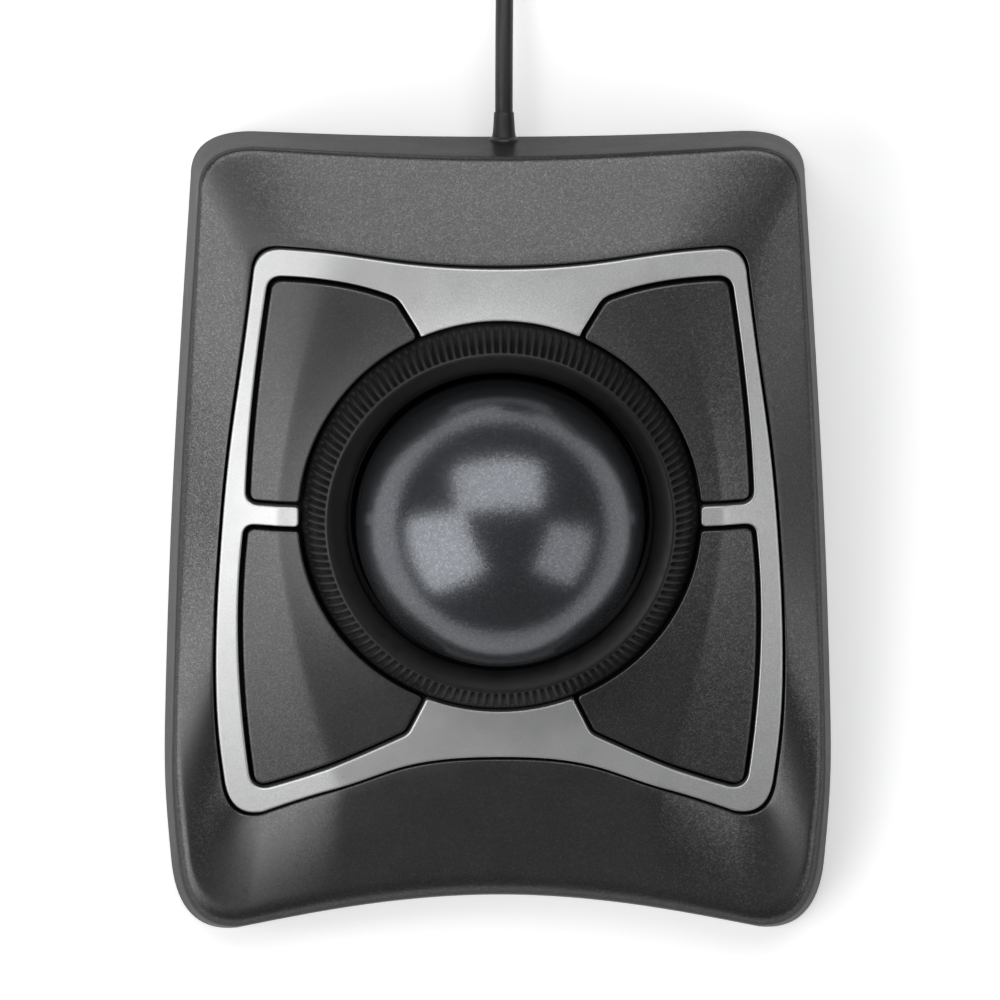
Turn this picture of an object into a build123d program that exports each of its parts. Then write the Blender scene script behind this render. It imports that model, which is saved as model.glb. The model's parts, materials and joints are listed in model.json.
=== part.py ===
from build123d import *
import os
from math import cos, exp, hypot, pi, radians, sin, sqrt, tan

# A corded trackball mouse: a large ball inside a turning scroll ring, four hinged buttons around it,
# and a cord with a USB plug. Millimetres, +Z up, +Y to the rear, where the cord leaves, +X to the right.
# The origin is on the table, under the middle of the housing.

# ---------------------------------------------------------------- driving dimensions
ball_r = 27.5
ball_centre = Vector(0, 5.9, 37.5)
deck_tilt = 7.5  # degrees, the deck and the ring lean towards the user
shoulder_tilt = 6.0  # degrees, the top edge of the side walls
shoulder_height = 25.5  # of that edge, level with the origin
wall = 2.2  # moulded covers and buttons
base_bottom = 1.2
base_top = 3.4
foot_depth = 1.6
part_gap = 0.9  # between a button and the frame around it
ring_gap = 0.35  # between the scroll ring and the frame and buttons around it
ring_outer_r = 38.0
ring_inner_r = 29.1
carrier_top = -13.0  # heights below are over the deck plane, which goes through the ball's centre
carrier_bottom = -15.0
board_thickness = 1.2
plunger_x = 41.5
plunger_y = 14.0
pin_height = -10.8
rear_pin_y = 41.0
front_pin_y = -44.0
cord_r = 1.7
cord_exit = Vector(1.1, 82.0, 8.6)
coil_centre = Vector(25.1, 155.0, 0)
coil_mean_r = 18.7
coil_lift = 0.4  # the tie passes under the coil
coil_turns_wide = 4
plug_length = 20.0

# ---------------------------------------------------------------- frames and surfaces
deck_normal = Vector(0, -sin(radians(deck_tilt)), cos(radians(deck_tilt)))
deck = Plane(origin=ball_centre, x_dir=(1, 0, 0), z_dir=deck_normal)


def crown(x, y):
    """Height of the deck's face over the deck plane. It falls away from the ring, levels out, and falls again
    outside a ridge that bows in towards both ends of the deck, where it is also softer."""
    from_ring = hypot(x, y) - 35
    rounded = (from_ring + sqrt(from_ring**2 + 3**2)) / 2
    past = abs(x) - (42.5 - 7 * (y / 48) ** 2)
    softness = 1 + 3 * (y / 48) ** 2
    return -1.4 - 1.8 * (1 - exp(-rounded / 6)) - y**2 / 900 - 0.1 * (past + sqrt(past**2 + softness**2))


def level(z):
    return lambda x, y: Vector(x, y, z)


def shoulder(lift):
    slope = tan(radians(shoulder_tilt))
    return lambda x, y: Vector(x, y, shoulder_height + y * slope + lift)


def on_crown(lift):
    return lambda x, y: deck.from_local_coords(Vector(x, y, crown(x, y) + lift))


def on_deck(shape):
    """Moves a shape made over the deck plane to its place."""
    return deck.location * shape


class Outline:
    """A closed line that is symmetric about X = 0. The lists run from the rear middle to the front middle."""

    def __init__(self, rear, rear_corner, side, front_corner, front):
        self.lists = [rear, [rear_corner], side, [front_corner], front]

    def inset(self, distance):
        """Every point drawn in, a negative distance draws it out."""
        widest = max(x for x, y in self.lists[2])
        deepest = max(y for x, y in self.lists[0])
        x_scale = 1 - distance / widest
        y_scale = 1 - distance / deepest
        moved = [[(x * x_scale, y * y_scale) for x, y in points] for points in self.lists]
        return Outline(moved[0], moved[1][0], moved[2], moved[3][0], moved[4])

    def edges(self, place):
        """Eight edges: four sides and four rounded corners, with each point put in space by place."""
        rear, [rear_corner], side, [front_corner], front = self.lists

        def mirrored(points):
            return [(-x, y) for x, y in reversed(points)]

        def side_edge(points):
            return Edge.make_spline([place(x, y) for x, y in points])

        def corner(start, middle, end):
            return Edge.make_bezier(place(*start), place(*middle), place(*end))

        left_rear, left_front = mirrored([rear_corner])[0], mirrored([front_corner])[0]
        left = mirrored(side)
        return [
            side_edge(mirrored(rear)[:-1] + rear),
            corner(rear[-1], rear_corner, side[0]),
            side_edge(side),
            corner(side[-1], front_corner, front[0]),
            side_edge(front + mirrored(front)[1:]),
            corner(mirrored(front)[-1], left_front, left[0]),
            side_edge(left),
            corner(left[-1], left_rear, mirrored(rear)[0]),
        ]


def ruled_ring(loops):
    """A closed solid whose faces join each loop of edges to the next, and the last to the first."""
    faces = []
    for near, far in zip(loops, loops[1:] + loops[:1]):
        for a, b in zip(near, far):
            faces.append(Face.make_surface_from_curves(a, b))
    return Solid(Shell(faces))


def plate(outline, low, high):
    return extrude(make_face(outline.edges(level(low))), high - low)


def tube(outer_r, inner_r, low, high):
    """A tube about Z from height low to high."""
    middle = Pos(0, 0, (low + high) / 2)
    return middle * Cylinder(outer_r, high - low) - middle * Cylinder(inner_r, high - low)


def rod(x, y, radius, low, high):
    return Pos(x, y, (low + high) / 2) * Cylinder(radius, high - low)


def block(x, y, width, depth, low, high):
    return Pos(x, y, (low + high) / 2) * Box(width, depth, high - low)


def cross_rod(x_low, x_high, y, z, radius):
    """A rod along X."""
    return Pos((x_low + x_high) / 2, y, z) * Rot(0, 90, 0) * Cylinder(radius, x_high - x_low)


def crown_slab(lift, thickness):
    """A slab over the whole deck whose two faces follow the crown, its top moved by lift."""
    half_x, half_y, step = 60, 68, 4
    rows = [
        [Vector(x, y, crown(x, y) + lift) for y in range(-half_y, half_y + 1, step)]
        for x in range(-half_x, half_x + 1, step)
    ]
    face = Face.make_surface_from_array_of_points(rows)
    return Solid.extrude(face, Vector(0, 0, -thickness))


# ---------------------------------------------------------------- outlines
# The housing where its walls meet the base.
foot_line = Outline(
    rear=[(0, 76.9), (28, 77.3), (47, 78.0)],
    rear_corner=(59.4, 78.2),
    side=[(59.4, 69.5), (61.6, 36), (63.4, 4), (64.8, -34), (64.9, -48), (63.8, -64)],
    front_corner=(62.6, -79.0),
    front=[(51, -77.8), (30, -73.9), (0, -71.4)],
)
# The top edge of its side walls.
shoulder_line = Outline(
    rear=[(0, 75.1), (28, 76.0), (46, 77.0)],
    rear_corner=(57.4, 77.2),
    side=[(57.2, 68), (59.4, 36), (61.3, 4), (62.7, -34), (62.8, -48), (61.6, -62)],
    front_corner=(60.2, -76.4),
    front=[(49, -75.0), (30, -71.4), (0, -68.8)],
)
# The outer edge of the bright frame around the buttons, over the deck plane.
bezel_line = Outline(
    rear=[(0, 48.0), (19, 49.1), (34, 51.0), (41, 51.3)],
    rear_corner=(46.6, 51.5),
    side=[(46.9, 46), (48.9, 31), (51.5, 12.7), (53.2, -5), (54.4, -28), (53.9, -46), (53.0, -54)],
    front_corner=(52.0, -62.0),
    front=[(45.5, -60.3), (34.4, -55.7), (26.7, -53), (19, -50.2), (0, -48)],
)


def button_face(rear):
    """The plan of a right-hand button, with its inner edge along the scroll ring."""
    edge_r = ring_outer_r + ring_gap
    if rear:
        near_y, tip, inner_corner = 3.3, (15.9, 35.5), (20.0, 41.8)
        outer = [(47.6, near_y), (46.2, 22.6), (43.2, 45.3)]
        end = [(43.2, 45.3), (31.0, 44.7), inner_corner]
    else:
        near_y, tip, inner_corner = -2.4, (15.0, -35.9), (18.2, -42.6)
        outer = [(48.0, near_y), (49.2, -27.0), (47.0, -55.0)]
        end = [(47.0, -55.0), (33.0, -49.6), inner_corner]
    near_x = sqrt(edge_r**2 - near_y**2)
    middle = Vector(*tip).normalized() + Vector(near_x, near_y).normalized()
    arc_middle = middle.normalized() * edge_r
    tip_on_arc = Vector(*tip).normalized() * edge_r
    edges = [
        ThreePointArc(*outer),
        ThreePointArc(*end),
        Line(inner_corner, tip_on_arc),
        ThreePointArc(tip_on_arc, arc_middle, (near_x, near_y)),
        Line((near_x, near_y), outer[0]),
    ]
    return make_face(edges)


# ---------------------------------------------------------------- housing
boss_spots = [(53.0, 62.0), (-53.0, 62.0), (56.0, -58.0), (-56.0, -58.0)]
boss_tops = {62.0: 30.2, -58.0: 17.4}
boss_bottom = 6.2
case_screw_r = 1.25


def make_top_cover():
    opening = bezel_line.inset(-0.5)
    inner_shoulder = shoulder_line.inset(wall + 0.4)
    cover = ruled_ring([
        foot_line.edges(level(base_top)),
        shoulder_line.inset(0.1).edges(shoulder(-1.6)),
        shoulder_line.inset(1.6).edges(shoulder(0.7)),
        opening.edges(on_crown(0)),
        opening.edges(on_crown(-wall)),
        inner_shoulder.edges(shoulder(-wall)),
        foot_line.inset(wall).edges(level(base_top)),
    ])
    for x, y in boss_spots:
        cover += rod(x, y, 4.2, boss_bottom, boss_tops[y])
    for x, y in boss_spots:
        cover -= rod(x, y, case_screw_r, boss_bottom, boss_bottom + 10)
    cord_hole = Pos(cord_exit.X, cord_exit.Y - 8, cord_exit.Z) * Rot(90, 0, 0) * Cylinder(3.0, 12)
    return cover - cord_hole


def make_base_shell():
    rib_top = 6.0
    base = plate(foot_line.inset(1.0), base_bottom, base_top)
    rib = plate(foot_line.inset(wall + 1.3), base_top, rib_top)
    base += rib - plate(foot_line.inset(wall + 2.5), base_top, rib_top)
    base -= block(cord_exit.X, 73, 11, 8, base_top, rib_top)
    for x, y in boss_spots:
        base += rod(x, y, 4.2, base_top, boss_bottom)
    for x, y in boss_spots:
        base -= rod(x, y, case_screw_r, base_bottom, boss_bottom)
        base -= rod(x, y, 2.7, base_bottom, base_top - 0.4)
    for x, y in board_screw_spots:
        base += rod(x, y, 2.3, base_top, main_board_z)
    for x, y in sensor_peg_spots:
        base += rod(x, y, 1.5, base_top, sensor_board_z)
    for x, y in carrier_screw_spots:
        base += carrier_post(x, y)
    for x, y in board_screw_spots:
        base -= rod(x, y, board_screw_r, main_board_z - 2, main_board_z)
    for x, y in cup_screw_spots():
        base -= rod(x, y, cup_screw_r, base_bottom + 0.6, base_top)
    for x, y in foot_spots.values():
        base -= foot(x, y)
    return base - make_carrier_screws()


foot_spots = {
    "rear_left": (-40.0, 66.0),
    "rear_right": (40.0, 66.0),
    "front_left": (-43.0, -62.0),
    "front_right": (43.0, -62.0),
}


def foot(x, y):
    return block(x, y, 18, 9, 0, foot_depth)


def make_foot(x, y):
    pad = foot(x, y)
    return fillet(pad.edges().filter_by(Axis.Z), 3.0)


def make_case_screws():
    screws = []
    for x, y in boss_spots:
        head = rod(x, y, 2.4, base_bottom + 0.3, base_top - 0.4)
        screws.append(head + rod(x, y, case_screw_r, base_top - 0.4, boss_bottom + 9))
    return Compound(screws)


# ---------------------------------------------------------------- carrier under the deck
carrier_screw_spots = [(45.4, 43.6), (-45.4, 43.6), (47.6, -44.0), (-47.6, -44.0)]
carrier_screw_r = 1.2
bezel_post_spots = [(9.0, 43.8), (-9.0, 43.8), (9.0, -43.8), (-9.0, -43.8)]
bezel_screw_r = 0.9
collar_outer_r = 35.6
collar_inner_r = 33.4
collar_top = -4.2
hinge_posts = {"rear": (31.8, 37.6), "front": (31.8, 37.0)}
hinge_lugs = {"rear": (28.8, 40.6), "front": (28.8, 40.0)}
pin_r = 1.0
lug_width = 2.5


def make_button_carrier():
    corners = [(-48.5, 50), (48.5, 50), (54, -48), (-54, -48)]
    flat = Pos(0, 0, carrier_bottom) * extrude(make_face(Polyline(*corners, close=True)), carrier_top - carrier_bottom)
    flat = fillet(flat.edges().filter_by(Axis.Z), 8)
    flat -= rod(0, 0, collar_inner_r, carrier_bottom, carrier_top)
    carrier = flat + tube(collar_outer_r, collar_inner_r, carrier_top, collar_top)
    for end, pin_y in (("rear", rear_pin_y), ("front", front_pin_y)):
        for x in hinge_posts[end]:
            for side in (1, -1):
                carrier += block(side * x, pin_y, lug_width, 5, carrier_top, pin_height + 1.7)
    # A notch at the rear for the fork that reads the ring, and two posts for its board.
    carrier -= block(0, 36, 15, 14, carrier_bottom - 1, collar_top + 1)
    for x, y in scroll_post_spots:
        carrier += rod(x, y, 1.5, scroll_board_top, carrier_bottom)
    for x, y in carrier_screw_spots:
        carrier -= rod(x, y, carrier_screw_r, carrier_bottom, carrier_top)
    for x, y in bezel_post_spots:
        carrier -= rod(x, y, bezel_screw_r, carrier_bottom, carrier_top)
    return on_deck(carrier) - make_hinge_pins()


def carrier_post(x, y):
    """A column of the base that ends at the carrier's underside."""
    top = deck.from_local_coords(Vector(x, y, carrier_bottom))
    column = rod(top.X, top.Y, 3.2, base_top, top.Z + 2)
    return column - on_deck(block(x, y, 20, 20, carrier_bottom, carrier_bottom + 12))


def make_carrier_screws():
    screws = []
    for x, y in carrier_screw_spots:
        head = rod(x, y, 2.4, carrier_top, carrier_top + 1.6)
        screws.append(on_deck(head + rod(x, y, carrier_screw_r, carrier_bottom - 6, carrier_top)))
    return Compound(screws)


def make_hinge_pins():
    pins = []
    for end, pin_y in (("rear", rear_pin_y), ("front", front_pin_y)):
        inner, outer = hinge_lugs[end]
        for side in (1, -1):
            low, high = sorted((side * (inner - 1.8), side * (outer + 1.8)))
            pins.append(on_deck(cross_rod(low, high, pin_y, pin_height, pin_r)))
    return Compound(pins)


# ---------------------------------------------------------------- bright frame and buttons
def make_bezel_frame():
    plan = plate(bezel_line, -20, 0) - rod(0, 0, ring_outer_r + ring_gap, -20, 0)
    for rear in (True, False):
        window = offset(button_face(rear), part_gap)
        cut = extrude(Pos(0, 0, -20) * window, 20)
        plan -= cut
        plan -= mirror(cut, Plane.YZ)
    frame = plan & crown_slab(0, wall)
    under_face = crown_slab(-1, 30)
    for x, y in bezel_post_spots:
        post = rod(x, y, 2.0, carrier_top, 0) & under_face
        frame += post - rod(x, y, bezel_screw_r, carrier_top, carrier_top + 4)
    return on_deck(frame)


def make_bezel_screws():
    screws = []
    for x, y in bezel_post_spots:
        head = rod(x, y, 1.8, carrier_bottom - 1.2, carrier_bottom)
        screws.append(on_deck(head + rod(x, y, bezel_screw_r, carrier_bottom, carrier_top + 3.5)))
    return Compound(screws)


def make_button(rear):
    """A right-hand button: a crowned plate, two hinge lugs and the stub that meets the switch."""
    plan = extrude(Pos(0, 0, -20) * button_face(rear), 20)
    button = plan & crown_slab(0, wall)
    under_face = crown_slab(-1, 30)
    end, pin_y, stub_y = ("rear", rear_pin_y, plunger_y) if rear else ("front", front_pin_y, -plunger_y)
    for x in hinge_lugs[end]:
        button += block(x, pin_y, lug_width, 5, pin_height - 1.6, 0) & under_face
    button += rod(plunger_x, stub_y, 1.6, plunger_top + 0.1, 0) & under_face
    inner, outer = hinge_lugs[end]
    button -= cross_rod(inner - 2, outer + 2, pin_y, pin_height, pin_r + 0.05)
    return button


# ---------------------------------------------------------------- switches
switch_board_top = carrier_top + board_thickness
switch_top = switch_board_top + 4.7
plunger_top = switch_top + 0.5


def make_switch_board():
    board = block(plunger_x, 0, 9, 46, carrier_top, switch_board_top)
    return on_deck(board)


def make_switch_body(y):
    body = block(plunger_x, y, 6, 12.8, switch_board_top, switch_top)
    body = fillet(body.edges().filter_by(Axis.Z), 0.6)
    body -= block(plunger_x, y, 3.1, 2.1, switch_top - 1.8, switch_top)
    return on_deck(body)


def make_plunger(y):
    return on_deck(block(plunger_x, y, 3.0, 2.0, switch_top - 1.1, plunger_top))


# ---------------------------------------------------------------- scroll ring
ring_under = -3.1
skirt_inner_r = 36.4
skirt_bottom = -6.5


def make_scroll_ring():
    section = Polyline(
        (ring_inner_r, -1.2),
        (ring_inner_r, 0.5),
        (32.6, 2.2),
        (33.3, 2.2),
        (36.7, -1.1),
        (ring_outer_r, -1.7),
        (ring_outer_r, skirt_bottom),
        (skirt_inner_r, skirt_bottom),
        (skirt_inner_r, ring_under),
        (31.0, ring_under),
        (ring_inner_r, -1.2),
    )
    face = make_face(Plane.XZ * section)
    return on_deck(revolve(face, Axis.Z))


def make_encoder_ring():
    bottom, slot_top, slots = -13.0, -9.6, 48
    skirt = tube(32.4, guide_r + 0.06, bottom, ring_under)
    teeth = PolarLocations(31.8, slots) * Box(3, 1.0, slot_top - bottom)
    cuts = Pos(0, 0, (bottom + slot_top) / 2) * Compound(teeth)
    return on_deck(skirt - cuts)


def make_ring_glide():
    return on_deck(tube(35.8, 33.6, collar_top, ring_under - 0.1))


# ---------------------------------------------------------------- ball, cup and optical sensor
cup_r = 28.7
cup_wall = 2.2
cup_rim = -3.4
guide_r = 31.2
cup_screw_r = 1.0
flange_top = 5.6
sensor_board_z = 4.2
chip_z = sensor_board_z + board_thickness
lens_z = chip_z + 1.6
sensor_peg_spots = [(9.0, 0.5), (-9.0, 0.5), (9.0, 11.3), (-9.0, 11.3)]
bearing_r = 1.4
bearing_turn = 50.0  # degrees up from the lowest point of the cup


def make_ball():
    return Pos(*ball_centre) * Sphere(ball_r)


def bearing_places():
    """Three spots around the cup where small balls carry the large one."""
    reach = ball_r + 0.1 + bearing_r
    out, down = reach * sin(radians(bearing_turn)), reach * cos(radians(bearing_turn))
    spots = []
    for turn in (90, 210, 330):
        local = Vector(out * cos(radians(turn)), out * sin(radians(turn)), -down)
        spots.append(deck.from_local_coords(local))
    return spots


def make_support_bearings():
    return Compound([Pos(*place) * Sphere(bearing_r) for place in bearing_places()])


def cup_screw_spots():
    return [(27.2 * cos(radians(a)), ball_centre.Y + 27.2 * sin(radians(a))) for a in (30, 150, 270)]


def make_ball_cup():
    shell = Sphere(cup_r + cup_wall)
    shell -= block(0, 0, 80, 80, cup_rim, 40)
    shell += rod(0, 0, guide_r, -8, cup_rim)
    cup = on_deck(shell)
    skirt = rod(0, ball_centre.Y, 24, base_top, 18) + rod(0, ball_centre.Y, 30, base_top, flange_top)
    skirt -= rod(0, ball_centre.Y, 22, base_top, 14)
    cup += skirt - on_deck(rod(0, 0, 40, -18, 30))
    cup -= Pos(*ball_centre) * Sphere(cup_r)
    cup -= rod(0, ball_centre.Y, 6.2, base_top, 12)
    cup -= block(0, ball_centre.Y + 24, 14, 16, base_top, 7.4)
    for x, y in cup_screw_spots():
        cup -= rod(x, y, cup_screw_r, base_top, flange_top)
    for place in bearing_places():
        cup -= Pos(*place) * Sphere(bearing_r + 0.01)
    return cup


def make_cup_screws():
    screws = []
    for x, y in cup_screw_spots():
        head = rod(x, y, 1.9, flange_top, flange_top + 1.3)
        screws.append(head + rod(x, y, cup_screw_r, base_bottom + 0.8, flange_top))
    return Compound(screws)


def make_sensor_ribbon():
    """A flat cable from the sensor board, through the cup's skirt, to the main board."""
    start = ball_centre.Y + 9.2
    end = main_board_y - main_board_depth / 2 + 3
    low = block(0, (start + end) / 2 - 2.5, 8, end - start - 5, chip_z, chip_z + 0.3)
    rise = block(0, end - 5, 8, 0.3, chip_z, main_board_top + 0.3)
    top = block(0, end - 2.5, 8, 5, main_board_top, main_board_top + 0.3)
    return low + rise + top


# ---------------------------------------------------------------- ring sensor and main board
scroll_board_top = -16.5
scroll_post_spots = [(12.0, 41.0), (-12.0, 41.0)]
main_board_z = 5.6
main_board_thickness = 1.6
main_board_top = main_board_z + main_board_thickness
main_board_y = 53.0
main_board_depth = 22.0
board_screw_r = 1.0
board_screw_spots = [(34.0, 45.0), (-34.0, 45.0), (34.0, 61.0), (-34.0, 61.0)]


def make_scroll_board():
    return on_deck(block(0, 37.5, 32, 13, scroll_board_top - board_thickness, scroll_board_top))


def make_scroll_sensor():
    """A fork with one leg each side of the slotted skirt."""
    fork = block(0, 33.2, 5, 6.6, scroll_board_top, -13.6)
    fork += block(0, 30.45, 5, 1.1, -13.6, -9.4)
    fork += block(0, 35.0, 5, 3.0, -13.6, -9.4)
    return on_deck(fork)


def make_main_board():
    board = block(0, main_board_y, 78, main_board_depth, main_board_z, main_board_top)
    for x, y in board_screw_spots:
        board -= rod(x, y, board_screw_r, main_board_z, main_board_top)
    return board


def make_board_screws():
    screws = []
    for x, y in board_screw_spots:
        head = rod(x, y, 1.9, main_board_top, main_board_top + 1.3)
        screws.append(head + rod(x, y, board_screw_r, main_board_z - 2, main_board_top))
    return Compound(screws)


def make_board_components():
    """Crystal, two can capacitors, a row of small chips and the three sockets of the board's wiring."""
    top = main_board_top
    pieces = [block(-4, 55, 11, 4, top, top + 3.5), rod(15, 58, 2.5, top, top + 6)]
    pieces.append(rod(22, 58, 2.5, top, top + 6))
    for step in range(6):
        pieces.append(block(10 + 3.2 * step, 49, 1.6, 0.9, top, top + 0.6))
    for x in (-27.5, 27.5):
        pieces.append(block(x, 53, 6, 9, top, top + 4.5))
    return Compound(pieces)


# ---------------------------------------------------------------- cord, from the board to the plug
connector_end = 64.0
relief_start = 71.4


def along_y(y_low, y_high, radius):
    middle = (y_low + y_high) / 2
    return Pos(cord_exit.X, middle, cord_exit.Z) * Rot(90, 0, 0) * Cylinder(radius, y_high - y_low)


def make_cable_connector():
    return block(cord_exit.X, connector_end - 3, 9, 6, main_board_top, main_board_top + 4)


def make_strain_relief():
    """A grommet held by the rear wall, with a short tapered boot outside."""
    wall_y = 76.9
    boot_length = cord_exit.Y - wall_y
    boot = Rot(-90, 0, 0) * Cone(2.5, 2.0, boot_length)
    relief = Pos(cord_exit.X, wall_y + boot_length / 2, cord_exit.Z) * boot
    relief += along_y(relief_start + 2.2, wall_y, 2.9)
    return relief + along_y(relief_start, relief_start + 2.2, 4.6)


lead_route = [
    (1.1, 82.0, 8.6),
    (1.1, 94.5, 8.6),
    (1.3, 109.0, 6.0),
    (1.4, 124.0, 2.5),
    (1.35, 139.5, 1.8),
    (1.3, 155.0, 2.1),
]
tail_route = [
    (27.0, 175.6, 12.3),
    (38.5, 176.4, 12.3),
    (50.5, 173.6, 10.4),
    (59.2, 165.0, 6.4),
    (61.1, 155.4, 4.0),
    (61.1, 147.0, 4.0),
]


def cord_tube(name, points):
    """A round tube along a line whose corners are arcs as large as the two runs beside them allow."""
    corners = [Vector(*point) for point in points]
    radii = []
    for before, here, after in zip(corners, corners[1:], corners[2:]):
        turn = (here - before).get_angle(after - here)
        shorter = min((here - before).length, (after - here).length)
        radii.append(0.45 * shorter / tan(radians(turn / 2)))
    path = FilletPolyline(*corners, radius=radii)
    section = Plane(origin=path @ 0, z_dir=path % 0) * Circle(cord_r)
    solid = sweep(section, path=path)
    print(name, "radii", [round(r, 1) for r in radii], "length", round(path.length, 1))
    print(name, "volume over section times length", round(solid.volume / (pi * cord_r**2 * path.length), 4))
    return solid


def make_cord_coil():
    side = 2 * cord_r * coil_turns_wide
    section = RectangleRounded(side, side, cord_r)
    ring = revolve(Plane.XZ * (Pos(coil_mean_r, side / 2 + coil_lift) * section), Axis.Z)
    return Pos(*coil_centre) * ring


def make_cord_tie():
    """A strap round the coil's bundle."""
    side = 2 * cord_r * coil_turns_wide
    tie_width, tie_turn = 5, -50
    outside = Box(side + 1.6, tie_width, side + 2 * coil_lift)
    inside = Box(side + 0.8, tie_width, side)
    strap = outside - inside
    turned = Rot(0, 0, tie_turn) * Pos(coil_mean_r, 0, side / 2 + coil_lift) * strap
    return Pos(*coil_centre) * turned


def make_usb_plug():
    """The moulded grip, the metal shell and the insulator inside it, lying on the table, pointing at -Y."""
    x, y, z = tail_route[-1]
    grip = block(x, y - plug_length / 2, 15.6, plug_length, 0, 8)
    grip = fillet(grip.edges().filter_by(Axis.Y), 2.0)
    shell_length, shell_y = 12.0, y - plug_length
    outside = block(x, shell_y - shell_length / 2, 12.0, shell_length, z - 2.25, z + 2.25)
    inside = block(x, shell_y - shell_length / 2, 11.4, shell_length, z - 1.95, z + 1.95)
    for side in (1, -1):
        inside += block(x + 2.9 * side, shell_y - 6.2, 2.4, 2.4, z - 2.5, z + 2.5)
    insert = block(x, shell_y - 5.6, 11.2, 11.2, z - 1.85, z - 0.05)
    return grip, outside - inside, insert


# ---------------------------------------------------------------- every piece, written to its own file
def mirrored_pair(name, shape):
    """The right-hand piece and its mirror image."""
    return {name + "_right": shape, name + "_left": mirror(shape, Plane.YZ)}


def all_parts():
    parts = {
        "top_cover": make_top_cover(),
        "base_shell": make_base_shell(),
        "button_carrier": make_button_carrier(),
        "bezel_frame": make_bezel_frame(),
        "scroll_ring": make_scroll_ring(),
        "encoder_ring": make_encoder_ring(),
        "ring_glide": make_ring_glide(),
        "ball": make_ball(),
        "ball_cup": make_ball_cup(),
        "support_bearings": make_support_bearings(),
        "button_hinge_pins": make_hinge_pins(),
        "sensor_board": block(0, ball_centre.Y, 26, 20, sensor_board_z, chip_z),
        "sensor_chip": block(0, ball_centre.Y, 9.9, 10.9, chip_z, lens_z),
        "sensor_lens": rod(0, ball_centre.Y, 5.0, lens_z, lens_z + 2.3),
        "sensor_led": block(8.4, ball_centre.Y, 3, 3, chip_z, chip_z + 1.4),
        "sensor_ribbon": make_sensor_ribbon(),
        "scroll_board": make_scroll_board(),
        "scroll_sensor": make_scroll_sensor(),
        "main_board": make_main_board(),
        "controller_chip": block(-14, 47, 9, 6, main_board_top, main_board_top + 1.2),
        "board_components": make_board_components(),
        "cable_connector": make_cable_connector(),
        "inner_lead": along_y(connector_end, relief_start, cord_r),
        "strain_relief": make_strain_relief(),
        "case_screws": make_case_screws(),
        "carrier_screws": make_carrier_screws(),
        "bezel_screws": make_bezel_screws(),
        "board_screws": make_board_screws(),
        "cup_screws": make_cup_screws(),
        "underside_label": block(0, -30, 44, 24, base_bottom - 0.2, base_bottom),
        "cord_lead": cord_tube("cord_lead", lead_route),
        "cord_coil": make_cord_coil(),
        "cord_tail": cord_tube("cord_tail", tail_route),
        "cord_tie": make_cord_tie(),
    }
    parts.update(mirrored_pair("button_rear", on_deck(make_button(True))))
    parts.update(mirrored_pair("button_front", on_deck(make_button(False))))
    parts.update(mirrored_pair("switch_board", make_switch_board()))
    parts.update(mirrored_pair("switch_rear", make_switch_body(plunger_y)))
    parts.update(mirrored_pair("switch_front", make_switch_body(-plunger_y)))
    parts.update(mirrored_pair("plunger_rear", make_plunger(plunger_y)))
    parts.update(mirrored_pair("plunger_front", make_plunger(-plunger_y)))
    for name, (x, y) in foot_spots.items():
        parts["foot_" + name] = make_foot(x, y)
    grip, shell, insert = make_usb_plug()
    parts.update({"usb_plug_grip": grip, "usb_plug_shell": shell, "usb_plug_insert": insert})
    return parts


os.makedirs("parts", exist_ok=True)
for node, solid in all_parts().items():
    export_step(solid, f"parts/{node}.step")
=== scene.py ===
import json
from math import cos, pi, radians, sin, sqrt, tan

import bmesh
import bpy
import numpy as np
from mathutils import Matrix, Vector
from mathutils.geometry import delaunay_2d_cdt


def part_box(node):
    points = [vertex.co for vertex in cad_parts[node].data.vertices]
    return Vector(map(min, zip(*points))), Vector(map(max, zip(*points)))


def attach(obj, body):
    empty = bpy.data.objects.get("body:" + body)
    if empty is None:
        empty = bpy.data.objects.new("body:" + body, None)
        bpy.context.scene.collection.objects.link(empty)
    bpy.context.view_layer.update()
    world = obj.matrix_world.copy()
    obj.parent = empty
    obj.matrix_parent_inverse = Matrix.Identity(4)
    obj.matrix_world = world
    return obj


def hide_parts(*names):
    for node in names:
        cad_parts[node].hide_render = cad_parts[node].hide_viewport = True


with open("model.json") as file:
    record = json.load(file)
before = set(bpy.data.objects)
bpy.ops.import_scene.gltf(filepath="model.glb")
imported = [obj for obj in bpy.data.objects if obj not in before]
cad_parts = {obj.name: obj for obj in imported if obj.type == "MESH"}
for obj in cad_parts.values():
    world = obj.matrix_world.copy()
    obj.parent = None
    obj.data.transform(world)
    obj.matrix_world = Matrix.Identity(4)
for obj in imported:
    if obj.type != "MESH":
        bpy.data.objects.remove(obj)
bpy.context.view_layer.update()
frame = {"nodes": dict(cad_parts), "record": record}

# A corded trackball mouse. Shapes are worked out in millimetres, in the model's own frame:
# +Z up, +Y to the rear, where the cord leaves, +X to the right, the origin on the table.
mm = 0.001

# ---------------------------------------------------------------- camera
camera_target = Vector((0.45, 5.8, 0.0)) * mm
camera_distance = 1.6
lean_left = radians(0.75)
lean_back = radians(6.5)


def aim_camera():
    """Looks down on the object, with the rear at the top of the picture."""
    away = Vector((-sin(lean_left), sin(lean_back), 0))
    away.z = sqrt(1 - away.length_squared)
    right = Vector((0, 1, 0)).cross(away).normalized()
    turned = Matrix((right, away.cross(right), away)).transposed()
    data = bpy.data.cameras.new("camera")
    data.lens = 295.8
    data.sensor_width = 36
    camera = bpy.data.objects.new("camera", data)
    camera.matrix_world = Matrix.Translation(camera_target + camera_distance * away) @ turned.to_4x4()
    bpy.context.scene.collection.objects.link(camera)
    bpy.context.scene.camera = camera


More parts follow.
